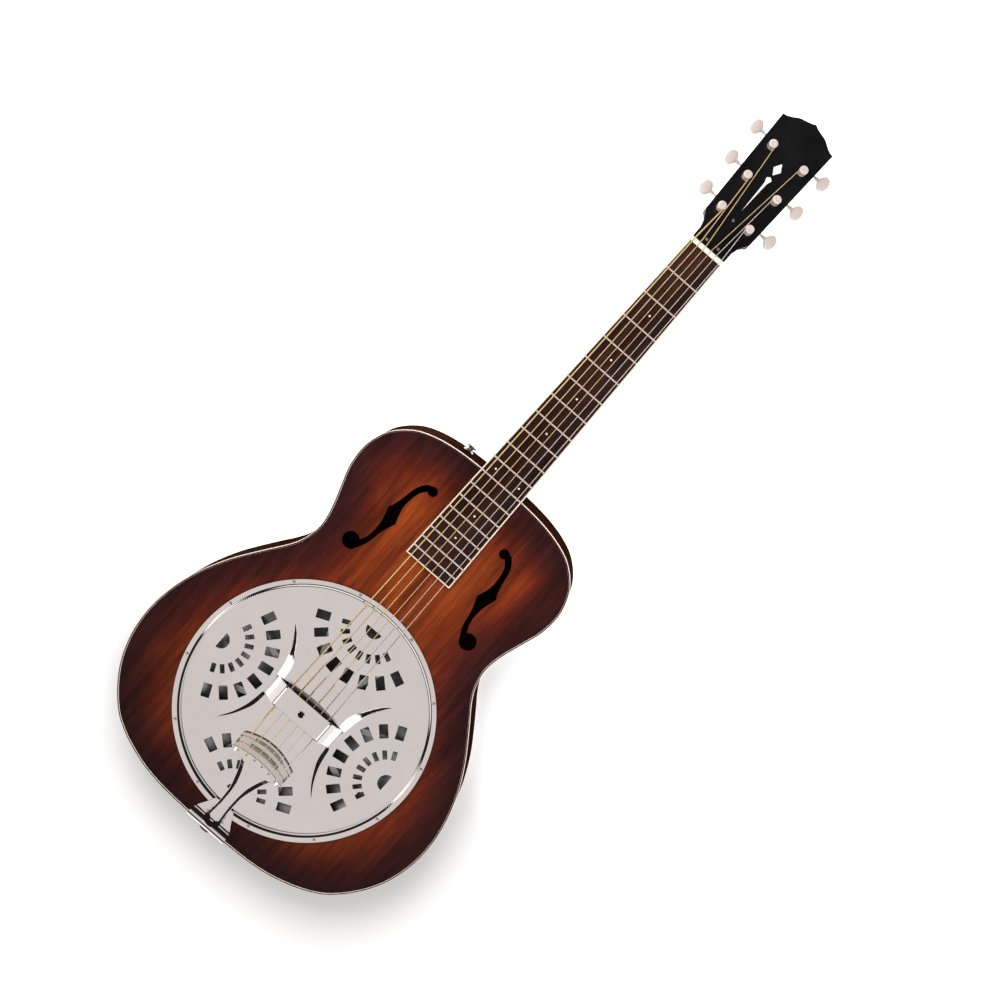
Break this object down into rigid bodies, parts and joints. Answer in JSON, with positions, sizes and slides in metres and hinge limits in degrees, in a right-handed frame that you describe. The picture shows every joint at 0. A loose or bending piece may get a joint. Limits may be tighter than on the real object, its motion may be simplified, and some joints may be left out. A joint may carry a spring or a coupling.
{
  "type": "resonator guitar",
  "caption": "Acoustic resonator guitar with round fan-slotted coverplate, hand rest, trapeze tailpiece, bound sunburst body, sound holes and worm-geared tuners.",
  "frame": {"origin": "on the back's flat outer face, straight under the centre of the coverplate", "axes": "+Z out of the soundboard, +Y along the neck to the head, +X to the treble side"},
  "size_m": [0.3936, 1.0023, 0.1102],
  "materials": {
    "sunburst_top": "gloss amber to dark sunburst over straight-grained mahogany",
    "dark_mahogany": "gloss very dark red-brown mahogany",
    "raw_wood": "bare sanded wood",
    "cream_binding": "gloss cream plastic",
    "fretboard_wood": "satin dark open-pored wood",
    "black_lacquer": "gloss black",
    "chrome": "polished chrome",
    "nickel": "polished nickel",
    "spun_aluminium": "spun, fine circular marks",
    "cast_aluminium": "matt cast",
    "plain_steel": "bright drawn wire",
    "steel": "plain steel",
    "wound_bronze": "bronze winding",
    "bone": "satin off-white",
    "maple": "bare maple",
    "black_metal": "black plated"
  },
  "bodies": {
    "root": {"top_plate": "sunburst_top", "back_plate": "dark_mahogany", "bass_side": "dark_mahogany", "treble_side": "dark_mahogany", "neck_block": "raw_wood", "tail_block": "raw_wood", "top_binding": "cream_binding", "back_binding": "cream_binding", "bass_top_lining": "raw_wood", "treble_top_lining": "raw_wood", "bass_back_lining": "raw_wood", "treble_back_lining": "raw_wood", "soundwell_ring": "raw_wood", "upper_back_brace": "raw_wood", "middle_back_brace": "raw_wood", "lower_back_brace": "raw_wood", "neck": "dark_mahogany", "head_veneer": "black_lacquer", "fretboard": "fretboard_wood", "fretboard_binding": "cream_binding", "frets": "nickel", "nut": "bone", "truss_rod": "steel", "truss_rod_cover": "black_lacquer", "resonator_cone": "spun_aluminium", "spider_bridge": "cast_aluminium", "bass_saddle": "maple", "treble_saddle": "maple", "tension_screw": "nickel", "coverplate": "chrome", "hand_rest": "chrome", "tailpiece": "chrome", "string_anchor": "nickel", "end_pin": "black_metal", "strap_button": "nickel", "string_1": "plain_steel", "string_2": "plain_steel", "string_3": "wound_bronze", "string_4": "wound_bronze", "string_5": "wound_bronze", "string_6": "wound_bronze", "tuner_bracket_1": "nickel", "tuner_bracket_2": "nickel", "tuner_bracket_3": "nickel", "tuner_bracket_4": "nickel", "tuner_bracket_5": "nickel", "tuner_bracket_6": "nickel"},
    "tuner_1": {"tuner_button_1": "nickel"},
    "post_1": {"string_post_1": "nickel"},
    "tuner_2": {"tuner_button_2": "nickel"},
    "post_2": {"string_post_2": "nickel"},
    "tuner_3": {"tuner_button_3": "nickel"},
    "post_3": {"string_post_3": "nickel"},
    "tuner_4": {"tuner_button_4": "nickel"},
    "post_4": {"string_post_4": "nickel"},
    "tuner_5": {"tuner_button_5": "nickel"},
    "post_5": {"string_post_5": "nickel"},
    "tuner_6": {"tuner_button_6": "nickel"},
    "post_6": {"string_post_6": "nickel"}
  },
  "joints": [
    {"name": "tuner_1_turn", "type": "hinge", "parent": "root", "child": "tuner_1", "pos_m": [0.0189, 0.69588, 0.0557], "axis": [1, 0, 0], "continuous": true},
    {"name": "post_1_turn", "type": "hinge", "parent": "root", "child": "post_1", "pos_m": [0.0189, 0.68927, 0.07796], "axis": [0, 0.2419, 0.9703], "continuous": true},
    {"name": "tuner_2_turn", "type": "hinge", "parent": "root", "child": "tuner_2", "pos_m": [0.0199, 0.7375, 0.04532], "axis": [1, 0, 0], "continuous": true},
    {"name": "post_2_turn", "type": "hinge", "parent": "root", "child": "post_2", "pos_m": [0.0199, 0.73089, 0.06758], "axis": [0, 0.2419, 0.9703], "continuous": true},
    {"name": "tuner_3_turn", "type": "hinge", "parent": "root", "child": "tuner_3", "pos_m": [0.0209, 0.77913, 0.03494], "axis": [1, 0, 0], "continuous": true},
    {"name": "post_3_turn", "type": "hinge", "parent": "root", "child": "post_3", "pos_m": [0.0209, 0.77252, 0.0572], "axis": [0, 0.2419, 0.9703], "continuous": true},
    {"name": "tuner_4_turn", "type": "hinge", "parent": "root", "child": "tuner_4", "pos_m": [-0.0209, 0.77913, 0.03494], "axis": [-1, 0, 0], "continuous": true},
    {"name": "post_4_turn", "type": "hinge", "parent": "root", "child": "post_4", "pos_m": [-0.0209, 0.77252, 0.0572], "axis": [0, 0.2419, 0.9703], "continuous": true},
    {"name": "tuner_5_turn", "type": "hinge", "parent": "root", "child": "tuner_5", "pos_m": [-0.0199, 0.7375, 0.04532], "axis": [-1, 0, 0], "continuous": true},
    {"name": "post_5_turn", "type": "hinge", "parent": "root", "child": "post_5", "pos_m": [-0.0199, 0.73089, 0.06758], "axis": [0, 0.2419, 0.9703], "continuous": true},
    {"name": "tuner_6_turn", "type": "hinge", "parent": "root", "child": "tuner_6", "pos_m": [-0.0189, 0.69588, 0.0557], "axis": [-1, 0, 0], "continuous": true},
    {"name": "post_6_turn", "type": "hinge", "parent": "root", "child": "post_6", "pos_m": [-0.0189, 0.68927, 0.07796], "axis": [0, 0.2419, 0.9703], "continuous": true}
  ],
  "couplings": [
    {"joint": "post_1_turn", "follows": "tuner_1_turn", "ratio": 0.071429},
    {"joint": "post_2_turn", "follows": "tuner_2_turn", "ratio": 0.071429},
    {"joint": "post_3_turn", "follows": "tuner_3_turn", "ratio": 0.071429},
    {"joint": "post_4_turn", "follows": "tuner_4_turn", "ratio": -0.071429},
    {"joint": "post_5_turn", "follows": "tuner_5_turn", "ratio": -0.071429},
    {"joint": "post_6_turn", "follows": "tuner_6_turn", "ratio": -0.071429}
  ]
}
